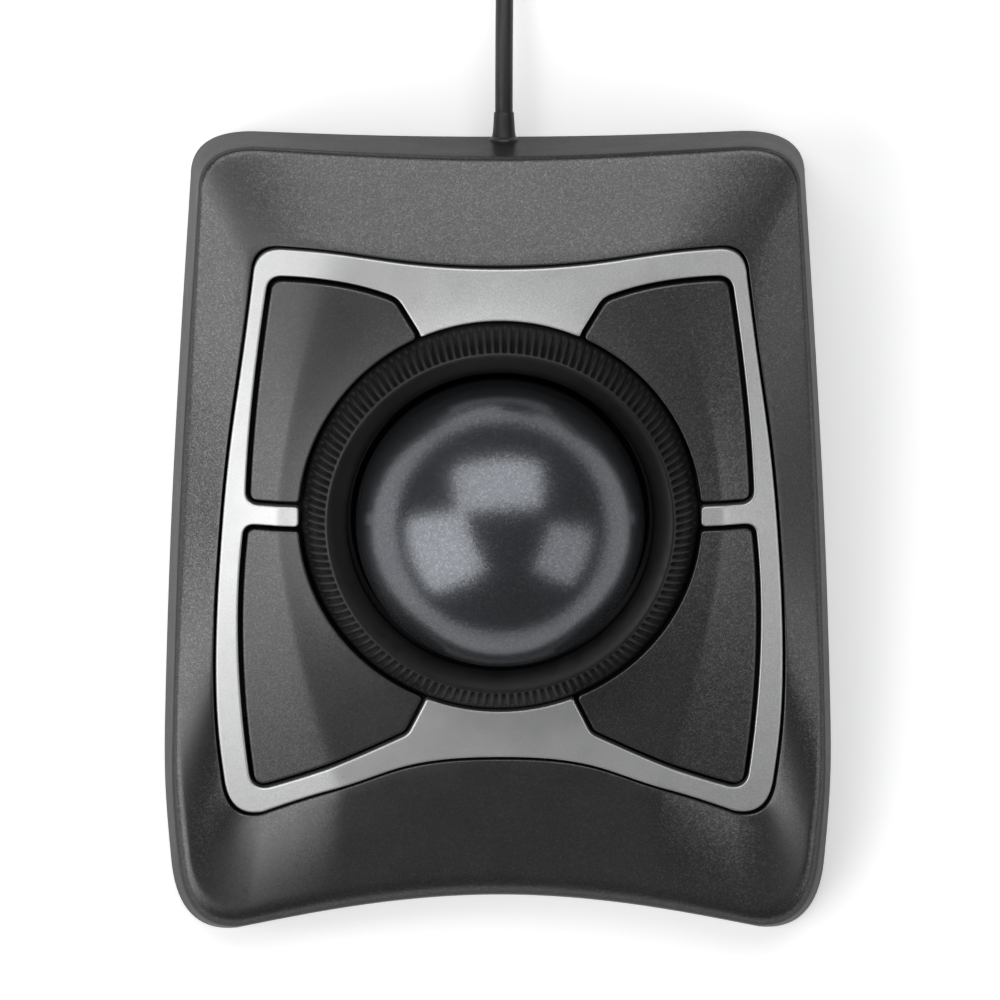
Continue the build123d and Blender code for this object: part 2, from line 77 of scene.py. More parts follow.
# ---------------------------------------------------------------- cord
cord_radius = 1.7
cord_exit = (1.1, 82.0, 8.6)
coil_centre = (25.1, 155.0)
lead_route = [
    (1.1, 82.0, 8.6),
    (1.1, 94.5, 8.6),
    (1.3, 109.0, 6.0),
    (1.4, 124.0, 2.5),
    (1.35, 139.5, 1.8),
    (1.3, 155.0, 2.1),
]
tail_route = [
    (27.0, 175.6, 12.3),
    (38.5, 176.4, 12.3),
    (50.5, 173.6, 10.4),
    (59.2, 165.0, 6.4),
    (61.1, 155.4, 4.0),
    (61.1, 147.0, 4.0),
]


def ease(share):
    """0 to 1, level at both ends."""
    share = min(max(share, 0.0), 1.0)
    return share * share * (3 - 2 * share)


def coil_route():
    """Turns wound clockwise, in to the middle and out again, layer on layer, and a last quarter turn."""
    outer_r, pitch, lowest, layers, turns_wide = 23.8, 2 * cord_radius, 2.1, 4, 4
    steps, quarter = 12, 3
    turns = []
    for layer in range(layers):
        across = range(turns_wide) if layer % 2 == 0 else reversed(range(turns_wide))
        turns += [(outer_r - pitch * place, lowest + pitch * layer) for place in across]
    whole_turns = len(turns) - 2
    points = []
    for step in range(whole_turns * steps + quarter):
        turn, past = divmod(step + 0.5, steps)
        blend = ease((past / steps - 0.66) / 0.34)
        (r, z), (next_r, next_z) = turns[int(turn)], turns[int(turn) + 1]
        r = (r + (next_r - r) * blend) / cos(pi / steps)
        angle = pi - 2 * pi * (step + 0.5) / steps
        x = coil_centre[0] + r * cos(angle)
        y = coil_centre[1] + r * sin(angle)
        points.append((x, y, z + (next_z - z) * blend))
    return points


def make_cord():
    route = lead_route + coil_route() + tail_route
    curve = bpy.data.curves.new("cord", "CURVE")
    curve.dimensions = "3D"
    curve.bevel_depth = cord_radius * mm
    curve.bevel_resolution = 5
    curve.resolution_u = 8
    curve.use_fill_caps = True
    spline = curve.splines.new("NURBS")
    spline.points.add(len(route) - 1)
    for point, place in zip(spline.points, route):
        point.co = (*(Vector(place) * mm), 1)
    spline.order_u = 3
    spline.use_endpoint_u = True
    cord = bpy.data.objects.new("cord", curve)
    bpy.context.scene.collection.objects.link(cord)
    return cord


aim_camera()
cord = make_cord()


# ---------------------------------------------------------------- frames and surfaces
deck_tilt = radians(7.5)
deck_centre = np.array((0.0, 5.9, 37.5))
deck_up = np.array((0.0, -sin(deck_tilt), cos(deck_tilt)))
deck_axes = np.array(((1, 0, 0), (0, cos(deck_tilt), sin(deck_tilt)), deck_up))
ball_r = 27.5
ring_outer_r = 38.0
ring_inner_r = 29.1
part_gap = 0.9
ring_gap = 0.35
wall = 2.2
frame_edge_r = 0.35
cap_edge_r = 0.4
shoulder_height = 25.5
shoulder_slope = radians(6.0)
cover_bottom = 3.4
deck_half_depth = 48
crease_from_middle = 43
crease_bow = 10


def from_deck(points):
    """Points given over the deck plane, which goes through the ball's centre, put in the model's frame."""
    return deck_centre + np.asarray(points, float) @ deck_axes


def ridge(y):
    """How far the crease in the deck's face is from its middle. It bows in towards both ends of the deck."""
    return crease_from_middle - crease_bow * np.abs(y / deck_half_depth) ** 1.5


def crown(x, y):
    """Height of the deck's face over the deck plane. It falls away from the ring, levels out, and falls again
    outside the crease, which is crisp and a little stepped beside the ring and softer towards the rear."""
    top, fall_start, fall_softness, fall_depth, fall_reach, end_fall = -0.6, 35, 3, 3, 8, 1100
    crispest, rear_softness, front_softness, outer_slope = 0.6, 3.4, 0.8, 0.1
    step_height, step_reach, step_width = 0.07, 26, 0.5
    from_ring = np.hypot(x, y) - fall_start
    rounded = (from_ring + np.sqrt(from_ring**2 + fall_softness**2)) / 2
    past = np.abs(x) - ridge(y)
    softness = crispest + np.where(y > 0, rear_softness, front_softness) * (y / deck_half_depth) ** 2
    step = step_height * np.exp(-((y / step_reach) ** 2)) * (1 + np.tanh(past / step_width))
    outside = outer_slope * (past + np.sqrt(past**2 + softness**2))
    return top - fall_depth * (1 - np.exp(-rounded / fall_reach)) - y**2 / end_fall - outside - step


def on_crown(points, lift=0.0):
    x, y = points[:, 0], points[:, 1]
    return from_deck(np.column_stack((x, y, crown(x, y) + lift)))


def at_shoulder(points, lift=0.0):
    """On the sloping plane of the side walls' top edge."""
    return np.column_stack((points, shoulder_height + lift + points[:, 1] * tan(shoulder_slope)))


def at_height(points, z):
    return np.column_stack((points, np.full(len(points), z)))


# ---------------------------------------------------------------- lines
# Each outline is symmetric about X = 0, and lists its rear, rear corner, side, front corner and front.
foot_line = [
    [(0, 76.9), (28, 77.3), (47, 78.0)],
    (59.4, 78.2),
    [(59.4, 69.5), (61.6, 36), (63.4, 4), (64.8, -34), (64.9, -48), (63.8, -64)],
    (62.6, -79.0),
    [(51, -77.8), (30, -73.9), (0, -71.4)],
]
shoulder_line = [
    [(0, 75.1), (28, 76.0), (46, 77.0)],
    (57.4, 77.2),
    [(57.2, 68), (59.4, 36), (61.3, 4), (62.7, -34), (62.8, -48), (61.6, -62)],
    (60.2, -76.4),
    [(49, -75.0), (30, -71.4), (0, -68.8)],
]
bezel_line = [
    [(0, 48.0), (19, 49.1), (34, 51.0), (41, 51.3)],
    (46.6, 51.5),
    [(46.9, 46), (48.9, 31), (51.5, 12.7), (53.2, -5), (54.4, -28), (53.9, -46), (53.0, -54)],
    (52.0, -62.0),
    [(45.5, -60.3), (34.4, -55.7), (26.7, -53), (19, -50.2), (0, -48)],
]
end_steps, side_steps, corner_steps = 96, 96, 18


def smooth_run(points, count):
    """Evenly spaced places on a cubic spline through the points, all but the last one."""
    points = np.array(points, float)
    steps = np.linalg.norm(np.diff(points, axis=0), axis=1)
    knots = np.concatenate(([0.0], np.cumsum(steps)))
    system = np.eye(len(points))
    right = np.zeros_like(points)
    for i in range(1, len(points) - 1):
        before, after = steps[i - 1], steps[i]
        system[i, i - 1 : i + 2] = before, 2 * (before + after), after
        rise = (points[i + 1] - points[i]) / after - (points[i] - points[i - 1]) / before
        right[i] = 6 * rise
    bend = np.linalg.solve(system, right)
    places = np.linspace(0, knots[-1], count, endpoint=False)
    span = np.clip(np.searchsorted(knots, places, side="right") - 1, 0, len(steps) - 1)
    width = steps[span][:, None]
    b = (places - knots[span])[:, None] / width
    a = 1 - b
    curved = (a**3 - a) * bend[span] + (b**3 - b) * bend[span + 1]
    return a * points[span] + b * points[span + 1] + curved * width**2 / 6


def bow(start, control, end, count):
    """A quadratic curve pulled towards its control point, all but the last place."""
    t = np.linspace(0, 1, count, endpoint=False)[:, None]
    start, control, end = (np.array(p, float) for p in (start, control, end))
    return (1 - t) ** 2 * start + 2 * t * (1 - t) * control + t**2 * end


def drawn_in(outline, distance):
    """An outline scaled about the middle until its widest and deepest points have moved by distance."""
    rear, rear_corner, side, front_corner, front = outline
    scale = np.array((1 - distance / max(x for x, y in side), 1 - distance / max(y for x, y in rear)))
    return [part * scale for part in (np.array(rear), np.array(rear_corner), np.array(side),
                                      np.array(front_corner), np.array(front))]


def outline_line(outline, distance=0.0):
    """The closed line of an outline, clockwise from the rear left."""
    rear, rear_corner, side, front_corner, front = drawn_in(outline, distance)
    flip = np.array((-1, 1))
    left_rear, left_side, left_front = rear[::-1] * flip, side[::-1] * flip, front[::-1] * flip
    return np.concatenate([
        smooth_run(np.concatenate((left_rear[:-1], rear)), end_steps),
        bow(rear[-1], rear_corner, side[0], corner_steps),
        smooth_run(side, side_steps),
        bow(side[-1], front_corner, front[0], corner_steps),
        smooth_run(np.concatenate((front, left_front[1:])), end_steps),
        bow(left_front[-1], front_corner * flip, left_side[0], corner_steps),
        smooth_run(left_side, side_steps),
        bow(left_side[-1], rear_corner * flip, left_rear[0], corner_steps),
    ])


def trimmed(run, start, end):
    """A run of points with a length cut off each end."""
    along = np.concatenate(([0.0], np.cumsum(np.linalg.norm(np.diff(run, axis=0), axis=1))))
    count = max(3, int((along[-1] - start - end) / 0.5))
    places = np.linspace(start, along[-1] - end, count)
    return np.column_stack([np.interp(places, along, run[:, axis]) for axis in (0, 1)])


def rounded_line(runs, radii):
    """A closed line of runs, each from one corner to the next. The corner before each run has its radius."""
    cuts = []
    for i, run in enumerate(runs):
        before = runs[i - 1]
        arrive = before[-1] - before[-2]
        leave = run[1] - run[0]
        cosine = arrive @ leave / np.linalg.norm(arrive) / np.linalg.norm(leave)
        turn = np.arccos(np.clip(cosine, -1, 1))
        cuts.append(radii[i] * tan(turn / 2))
    line = []
    for i, run in enumerate(runs):
        after = (i + 1) % len(runs)
        kept = trimmed(run, cuts[i], cuts[after])
        following = trimmed(runs[after], cuts[after], cuts[(after + 1) % len(runs)])
        corner_points = max(4, int(cuts[after] / 0.15))
        line += [kept[:-1], bow(kept[-1], runs[after][0], following[0], min(corner_points, 14))]
    return np.concatenate(line)


def moved_out(line, distance):
    """A closed line with each point moved to its right, which is out of a line that runs anticlockwise."""
    along = np.roll(line, -1, axis=0) - np.roll(line, 1, axis=0)
    out = np.column_stack((along[:, 1], -along[:, 0]))
    return line + distance * out / np.linalg.norm(out, axis=1)[:, None]


def straight(start, end):
    return np.linspace(start, end, 24)


def ring_arc(radius, start, end):
    angles = np.radians(np.linspace(start, end, 2 + int(abs(end - start) / 0.75)))
    return radius * np.column_stack((np.cos(angles), np.sin(angles)))


def button_line(rear):
    """The plan of a right-hand button, from where its long edge leaves the ring to where its end meets it."""
    edge_r = ring_outer_r + ring_gap
    if rear:
        near_y, tip, inner_corner, radii = 3.3, (15.9, 35.5), (20.0, 41.8), (0.9, 1.5, 2.2, 3.6, 1.1)
        outer, end_middle = [(47.6, near_y), (46.2, 22.6), (43.2, 45.3)], (31.0, 44.7)
    else:
        near_y, tip, inner_corner, radii = -2.4, (15.0, -35.9), (18.2, -42.6), (0.9, 1.5, 2.2, 2.6, 1.1)
        outer, end_middle = [(48.0, near_y), (49.2, -27.0), (47.0, -55.0)], (33.0, -49.6)
    near = np.array((sqrt(edge_r**2 - near_y**2), near_y))
    tip_on_ring = np.array(tip) / np.hypot(*tip) * edge_r
    first_angle = np.degrees(np.arctan2(near[1], near[0]))
    last_angle = np.degrees(np.arctan2(tip[1], tip[0]))

    def through(start, middle, end):
        start, middle, end = (np.array(p, float) for p in (start, middle, end))
        curved = bow(start, 2 * middle - (start + end) / 2, end, 60)
        return np.concatenate((curved, [end]))

    runs = [
        straight(near, outer[0]),
        through(*outer),
        through(outer[2], end_middle, inner_corner),
        straight(inner_corner, tip_on_ring),
        ring_arc(edge_r, last_angle, first_angle),
    ]
    line = rounded_line(runs, radii)
    return line if rear else line[::-1]


def frame_opening():
    """The opening inside the bright frame: the ring's circle with a window round each button."""
    edge_r = ring_outer_r + ring_gap
    flip = np.array((-1, 1))
    windows = []
    for rear in (True, False):
        window = moved_out(button_line(rear), part_gap)
        outside = np.hypot(window[:, 0], window[:, 1]) > edge_r
        first = np.flatnonzero(outside & ~np.roll(outside, 1))[0]
        window = np.roll(window, -first, axis=0)[: outside.sum()]
        ends = [end / np.hypot(*end) * edge_r for end in (window[0], window[-1])]
        windows.append(np.concatenate(([ends[0]], window, [ends[1]])))
    right_rear, right_front = windows
    openings = [right_rear, right_rear[::-1] * flip, right_front[::-1] * flip, right_front]
    runs = []
    for i, window in enumerate(openings):
        following = openings[(i + 1) % 4]
        start = np.degrees(np.arctan2(window[-1][1], window[-1][0]))
        end = np.degrees(np.arctan2(following[0][1], following[0][0]))
        runs += [window, ring_arc(edge_r, start, start + (end - start) % 360)]
    tip_r, bridge_r = 0.7, 1.1
    radii = [bridge_r, tip_r, tip_r, bridge_r, bridge_r, tip_r, tip_r, bridge_r]
    return rounded_line(runs, radii)


# ---------------------------------------------------------------- meshes
def add_piece(name, verts, faces, look, body, slot, *nodes, crease=40):
    """A closed mesh from points in millimetres, with its material, its body and the nodes it replaces."""
    mesh = bpy.data.meshes.new(name)
    mesh.from_pydata((np.asarray(verts) * mm).tolist(), [], faces)
    shape = bmesh.new()
    shape.from_mesh(mesh)
    bmesh.ops.recalc_face_normals(shape, faces=shape.faces)
    shape.to_mesh(mesh)
    shape.free()
    mesh.polygons.foreach_set("use_smooth", [True] * len(mesh.polygons))
    mesh.set_sharp_from_angle(angle=radians(crease))
    mesh.materials.append(look)
    piece = bpy.data.objects.new(name, mesh)
    bpy.context.scene.collection.objects.link(piece)
    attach(piece, body)
    if nodes:
        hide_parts(*nodes)
    return piece


def joined_loops(loops):
    """Points and faces of a closed skin over closed loops, each joined to the next, the last to the first."""
    count, size = len(loops), len(loops[0])
    faces = []
    for i in range(count):
        for j in range(size):
            near, far = i * size, (i + 1) % count * size
            after = (j + 1) % size
            faces.append((near + j, far + j, far + after, near + after))
    return np.concatenate(loops), faces


def capped_loops(loops):
    """As joined_loops, but open at both ends and closed there by a fan to the loop's middle."""
    size = len(loops[0])
    verts, faces = joined_loops(loops)
    faces = faces[: -size]
    first, last = len(verts), len(verts) + 1
    verts = np.concatenate((verts, [loops[0].mean(axis=0), loops[-1].mean(axis=0)]))
    start = (len(loops) - 1) * size
    for j in range(size):
        after = (j + 1) % size
        faces.append((first, j, after))
        faces.append((last, start + after, start + j))
    return verts, faces


def inside(points, line):
    """Which points lie inside a closed line."""
    crossings = np.zeros(len(points), int)
    for (x1, y1), (x2, y2) in zip(line, np.roll(line, -1, axis=0)):
        between = (y1 > points[:, 1]) != (y2 > points[:, 1])
        reach = x1 + (points[:, 1] - y1) * (x2 - x1) / (y2 - y1 if y2 != y1 else 1)
        crossings += between & (points[:, 0] < reach)
    return crossings % 2 == 1


def clearance(points, lines):
    """How far each point is from the nearest of the closed lines."""
    nearest = np.full(len(points), np.inf)
    for line in lines:
        for start, end in zip(line, np.roll(line, -1, axis=0)):
            along = end - start
            share = np.clip((points - start) @ along / (along @ along), 0, 1)
            gap = points - start - share[:, None] * along
            nearest = np.minimum(nearest, np.hypot(gap[:, 0], gap[:, 1]))
    return nearest


def crowned_plate(lines, thickness, edge_r, spacing=1.5):
    """A plate that follows the crown, with rounded top edges. Each line has the plate on its left."""
    points, rims, edges = list(lines), [], []
    for line in lines:
        first = rims[-1][-1] + 1 if rims else 0
        rims.append(list(range(first, first + len(line))))
        edges += list(zip(rims[-1], rims[-1][1:] + rims[-1][:1]))
    for turn in (22.5, 45, 67.5, 90, 120):
        inset = edge_r * (1 - cos(radians(turn)))
        for line in lines:
            ring = moved_out(line, -inset)
            points.append(ring[clearance(ring, lines) > 0.97 * inset])
    low, high = lines[0].min(axis=0), lines[0].max(axis=0)
    rows = np.arange(low[1], high[1], spacing * 0.866)
    grid = []
    for i, y in enumerate(rows):
        across = np.arange(low[0] + (i % 2) * spacing / 2, high[0], spacing)
        grid.append(np.column_stack((across, np.full(len(across), y))))
    along_crease = np.arange(low[1], high[1], 0.9)
    for past in (-1.6, -0.9, -0.5, -0.2, 0.1, 0.4, 0.7, 1.1, 1.8):
        for side in (1, -1):
            grid.append(np.column_stack((side * (ridge(along_crease) + past), along_crease)))
    grid = np.concatenate(grid)
    keep = (clearance(grid, lines) > edge_r * 1.5 + spacing / 2) & inside(grid, lines[0])
    for hole in lines[1:]:
        keep &= ~inside(grid, hole)
    points.append(grid[keep])
    flat = np.concatenate(points)
    depth = clearance(flat, lines)
    _, _, found, origins, _, _ = delaunay_2d_cdt([Vector(p) for p in flat], edges, [], 0, 1e-7)
    faces = np.array([[origins[corner][0] for corner in face] for face in found])
    middles = flat[faces].mean(axis=1)
    solid = inside(middles, lines[0])
    for hole in lines[1:]:
        solid &= ~inside(middles, hole)
    faces = faces[solid]
    drop = edge_r - np.sqrt(np.maximum(edge_r**2 - np.maximum(edge_r - depth, 0) ** 2, 0))
    heights = crown(flat[:, 0], flat[:, 1])
    top = np.column_stack((flat, heights - drop))
    bottom = np.column_stack((flat, heights - thickness))
    count = len(flat)
    skin = faces.tolist() + (faces[:, ::-1] + count).tolist()
    for rim in rims:
        for a, b in zip(rim, rim[1:] + rim[:1]):
            skin.append((a, a + count, b + count, b))
    return from_deck(np.concatenate((top, bottom))), skin


def circle(radius, count):
    angles = np.linspace(0, 2 * pi, count, endpoint=False)
    return radius * np.column_stack((np.cos(angles), np.sin(angles)))


# ---------------------------------------------------------------- materials
class Look:
    """A material round one Principled shader. Its patterns are sized in millimetres on the object."""

    def __init__(self, name, colour, roughness, **sockets):
        self.material = bpy.data.materials.new(name)
        self.material.use_nodes = True
        self.tree = self.material.node_tree
        self.shader = self.tree.nodes["Principled BSDF"]
        self.set(self.shader, {"Base Color": (*colour, 1), "Roughness": roughness, **sockets})
        self.coords = self.tree.nodes.new("ShaderNodeTexCoord").outputs["Object"]
        self.normal = None

    def set(self, node, values):
        for socket, value in values.items():
            if isinstance(value, bpy.types.NodeSocket):
                self.tree.links.new(value, node.inputs[socket])
            else:
                node.inputs[socket].default_value = value

    def node(self, kind, settings=None, **values):
        made = self.tree.nodes.new(kind)
        for setting, value in (settings or {}).items():
            setattr(made, setting, value)
        self.set(made, {name.replace("_", " "): value for name, value in values.items()})
        return made

    def noise(self, size, detail=3.0, rough=0.5):
        made = self.node("ShaderNodeTexNoise", Vector=self.coords, Scale=1000 / size)
        self.set(made, {"Detail": detail, "Roughness": rough})
        return made.outputs["Fac"]

    def cells(self, size, output="Color", feature="F1"):
        made = self.node("ShaderNodeTexVoronoi", {"feature": feature}, Vector=self.coords, Scale=1000 / size)
        return made.outputs[output]

    def ranged(self, pattern, low, high, from_low=0.3, from_high=0.7):
        """A pattern spread over new limits."""
        made = self.node("ShaderNodeMapRange", Value=pattern)
        self.set(made, {"From Min": from_low, "From Max": from_high, "To Min": low, "To Max": high})
        return made.outputs["Result"]

    def shades(self, pattern, *stops):
        """Colours along a pattern, each stop a place and a colour."""
        ramp = self.tree.nodes.new("ShaderNodeValToRGB")
        self.tree.links.new(pattern, ramp.inputs["Fac"])
        bar = ramp.color_ramp.elements
        while len(bar) < len(stops):
            bar.new(0.5)
        for element, (place, colour) in zip(bar, stops):
            element.position = place
            element.color = (*colour, 1)
        self.set(self.shader, {"Base Color": ramp.outputs["Color"]})
        return self

    def rough(self, pattern, low, high):
        self.set(self.shader, {"Roughness": self.ranged(pattern, low, high)})
        return self

    def bump(self, pattern, depth, strength=1.0):
        """Raises the surface by a pattern, depth in millimetres."""
        made = self.node("ShaderNodeBump", Height=pattern, Distance=depth * mm, Strength=strength)
        if self.normal:
            self.tree.links.new(self.normal, made.inputs["Normal"])
        self.normal = made.outputs["Normal"]
        self.set(self.shader, {"Normal": self.normal})
        return self

    def flakes(self, size, tilt):
        """Turns each small cell of the surface its own way, as metal flakes or pearl lie in paint."""
        centred = self.node("ShaderNodeVectorMath", {"operation": "SUBTRACT"})
        self.tree.links.new(self.cells(size), centred.inputs[0])
        centred.inputs[1].default_value = (0.5, 0.5, 0.5)
        scaled = self.node("ShaderNodeVectorMath", {"operation": "SCALE"}, Scale=tilt)
        self.tree.links.new(centred.outputs[0], scaled.inputs[0])
        summed = self.node("ShaderNodeVectorMath", {"operation": "ADD"})
        self.tree.links.new(scaled.outputs[0], summed.inputs[0])
        ground = self.normal or self.node("ShaderNodeNewGeometry").outputs["Normal"]
        self.tree.links.new(ground, summed.inputs[1])
        final = self.node("ShaderNodeVectorMath", {"operation": "NORMALIZE"})
        self.tree.links.new(summed.outputs[0], final.inputs[0])
        self.normal = final.outputs[0]
        self.set(self.shader, {"Normal": self.normal})
        return self


def grey(value):
    return (value, value, value)


def graphite_paint(name, shade, roughness):
    """Dark metallic paint: fine flakes under a thin satin lacquer with a faint orange peel."""
    look = Look(name, grey(shade), roughness, Metallic=0.94)
    look.set(look.shader, {"Specular Tint": (*grey(0.3), 1), "Coat Weight": 0.08, "Coat Roughness": 0.25})
    sparkle = look.node("ShaderNodeSeparateColor", Color=look.cells(0.22)).outputs["Red"]
    low, high = shade * 0.72, shade * 1.4
    look.shades(sparkle, (0.0, grey(low)), (0.75, grey(shade)), (1.0, (high, high, high * 1.04)))
    look.rough(look.noise(9.0), roughness - 0.02, roughness + 0.02)
    look.bump(look.noise(0.9, 2.0), 0.004)
    return look.flakes(0.22, 0.1).material


def silver_paint():
    look = Look("silver_paint", grey(0.52), 0.45, Metallic=0.88)
    look.set(look.shader, {"Specular Tint": (*grey(0.8), 1), "Coat Weight": 0.1, "Coat Roughness": 0.2})
    sparkle = look.node("ShaderNodeSeparateColor", Color=look.cells(0.12)).outputs["Red"]
    look.shades(sparkle, (0.0, (0.46, 0.462, 0.466)), (1.0, (0.56, 0.561, 0.565)))
    look.rough(look.noise(6.0), 0.43, 0.48)
    look.bump(look.noise(0.8, 2.0), 0.002)
    return look.flakes(0.12, 0.08).material


def ball_resin():
    """Dark pearl resin with fine glitter under a thin clear skin."""
    look = Look("ball_resin", (0.1, 0.105, 0.115), 0.2, Metallic=0.92)
    look.set(look.shader, {"Specular Tint": (*grey(0.5), 1), "Coat Weight": 0.15, "Coat Roughness": 0.15})
    sparkle = look.node("ShaderNodeSeparateColor", Color=look.cells(0.3)).outputs["Red"]
    dark, middle, pale = (0.092, 0.097, 0.106), (0.12, 0.126, 0.138), (0.15, 0.156, 0.168)
    look.shades(sparkle, (0.0, dark), (0.8, middle), (1.0, pale))
    look.rough(look.noise(14.0), 0.22, 0.27)
    return look.flakes(0.26, 0.045).material


def moulded(name, colour, roughness, grain=0.5, depth=0.012, **sockets):
    """Injection-moulded plastic: a fine spark-eroded grain and slow changes of gloss."""
    look = Look(name, colour, roughness, **sockets)
    shade = np.array(colour)
    look.shades(look.noise(11.0, 4.0), (0.3, tuple(shade * 0.86)), (0.7, tuple(shade * 1.16)))
    look.rough(look.noise(4.0), roughness * 0.9, min(1.0, roughness * 1.12))
    return look.bump(look.noise(grain, 3.0), depth).material


def ring_plastic():
    """Black satin plastic of the scroll ring, with a fine grain and small changes of gloss."""
    look = Look("ring_plastic", grey(0.005), 0.42, **{"Specular IOR Level": 0.38})
    look.shades(look.noise(7.0, 4.0), (0.3, grey(0.004)), (0.75, grey(0.007)))
    look.rough(look.noise(2.4, 4.0), 0.36, 0.5)
    return look.bump(look.noise(0.35, 2.0), 0.006).material


def vinyl(name, colour=(0.012, 0.012, 0.0125)):
    look = Look(name, colour, 0.48)
    shade = np.array(colour)
    look.shades(look.noise(5.0, 4.0), (0.3, tuple(shade * 0.8)), (0.72, tuple(shade * 1.3)))
    look.rough(look.noise(1.7, 4.0), 0.42, 0.56)
    return look.bump(look.noise(0.5, 3.0), 0.01).material


def plated(name, colour, roughness, scratch=0.25):
    """Metal with fine scratches along one direction."""
    look = Look(name, colour, roughness, Metallic=1.0)
    stretched = look.node("ShaderNodeMapping", Vector=look.coords)
    stretched.inputs["Scale"].default_value = (1.0, 0.08, 1.0)
    lines = look.node("ShaderNodeTexNoise", Vector=stretched.outputs[0], Scale=1000 / scratch, Detail=4.0)
    look.rough(lines.outputs["Fac"], roughness * 0.7, roughness * 1.5)
    shade = np.array(colour)
    look.shades(look.noise(3.0), (0.3, tuple(shade * 0.88)), (0.7, tuple(shade)))
    return look.bump(lines.outputs["Fac"], 0.001).material


def circuit_board(name, mask, track):
    """Solder mask over copper tracks that show as lighter lines."""
    look = Look(name, mask, 0.35, **{"Coat Weight": 0.6, "Coat Roughness": 0.15})
    tracks = look.node("ShaderNodeTexBrick", {"offset": 0.35}, Vector=look.coords, Scale=1000 / 2.4)
    look.set(tracks, {"Mortar Size": 0.05, "Brick Width": 1.7, "Row Height": 0.5})
    look.shades(tracks.outputs["Fac"], (0.0, mask), (1.0, track))
    look.rough(look.noise(2.0), 0.3, 0.42)
    return look.bump(tracks.outputs["Fac"], 0.02).material


def rubber(name, shade=0.02):
    look = Look(name, grey(shade), 0.82)
    look.shades(look.noise(2.2, 5.0), (0.3, grey(shade * 0.7)), (0.7, grey(shade * 1.5)))
    look.rough(look.noise(0.8), 0.76, 0.92)
    return look.bump(look.noise(0.3, 4.0), 0.03).material


def clear_plastic():
    look = Look("clear_plastic", (0.8, 0.82, 0.85), 0.08, **{"Transmission Weight": 0.85, "IOR": 1.49})
    look.rough(look.noise(1.5), 0.05, 0.14)
    return look.bump(look.noise(0.6), 0.004).material


def ceramic():
    look = Look("bearing_ceramic", (0.78, 0.76, 0.72), 0.16, **{"Coat Weight": 0.5, "Coat Roughness": 0.05})
    look.shades(look.noise(0.7, 4.0), (0.3, (0.7, 0.68, 0.63)), (0.7, (0.84, 0.82, 0.79)))
    return look.rough(look.noise(0.5), 0.12, 0.22).material


def label_film():
    """A blank pale film with a faint mottle."""
    look = Look("label_film", grey(0.6), 0.4)
    look.shades(look.noise(3.0, 5.0), (0.3, grey(0.52)), (0.7, grey(0.64)))
    look.rough(look.noise(1.2), 0.34, 0.5)
    return look.bump(look.noise(0.5), 0.004).material


looks = {
    "shell_paint": graphite_paint("graphite_paint", 0.086, 0.37),
    "button_paint": graphite_paint("button_paint", 0.088, 0.38),
    "frame_paint": silver_paint(),
    "ball_resin": ball_resin(),
    "ring_plastic": ring_plastic(),
    "base_plastic": moulded("base_plastic", grey(0.018), 0.5, 0.6, 0.02),
    "inner_plastic": moulded("inner_plastic", grey(0.014), 0.46),
    "slippery_plastic": moulded("slippery_plastic", (0.5, 0.49, 0.45), 0.34, 0.4, 0.006),
    "bearing_ceramic": ceramic(),
    "circuit_board": circuit_board("circuit_board", (0.008, 0.085, 0.028), (0.02, 0.19, 0.07)),
    "clear_plastic": clear_plastic(),
    "steel": plated("steel", (0.55, 0.55, 0.56), 0.3),
    "plug_metal": plated("plug_metal", (0.66, 0.64, 0.6), 0.24),
    "cord_rubber": vinyl("cord_vinyl"),
    "foot_rubber": rubber("foot_rubber"),
    "label_film": label_film(),
}
black_board = circuit_board("black_board", grey(0.006), grey(0.012))
black_steel = plated("black_steel", grey(0.02), 0.45)
gold = plated("gold_contacts", (0.83, 0.6, 0.24), 0.26, 0.15)


# ---------------------------------------------------------------- housing
def make_top_cover():
    """The graphite cover: leaning walls, a rounded shoulder, and a bevel up to the deck's opening."""
    foot = at_height(outline_line(foot_line), cover_bottom)
    sharp = at_shoulder(outline_line(shoulder_line))
    edge = on_crown(outline_line(bezel_line, -0.5))
    cut = shoulder_cut()
    down = sharp + (foot - sharp) * (cut / np.linalg.norm(foot - sharp, axis=1))[:, None]
    bevel = (edge - sharp) / np.linalg.norm(edge - sharp, axis=1)[:, None]
    up = sharp + bevel * cut[:, None]
    lip = 0.45
    lip_start, lip_end = edge - lip * bevel, edge - lip * deck_up
    loops = [foot + (down - foot) * share for share in np.linspace(0, 1, 6)[:-1]]
    shoulder_steps, lip_steps = 12, 4
    for share in np.linspace(0, 1, shoulder_steps + 1):
        loops.append((1 - share) ** 2 * down + 2 * share * (1 - share) * sharp + share**2 * up)
    loops += [up + (lip_start - up) * share for share in np.linspace(0, 1, 12)[1:-1]]
    for share in np.linspace(0, 1, lip_steps + 1):
        loops.append((1 - share) ** 2 * lip_start + 2 * share * (1 - share) * edge + share**2 * lip_end)
    loops.append(edge - wall * deck_up)
    loops.append(at_shoulder(outline_line(shoulder_line, wall + 0.4), -wall))
    loops.append(at_height(outline_line(foot_line, wall), cover_bottom))
    verts, faces = joined_loops(loops)
    look = looks["shell_paint"]
    return add_piece("top_cover_shell", verts, faces, look, "housing", "shell_paint", "top_cover")


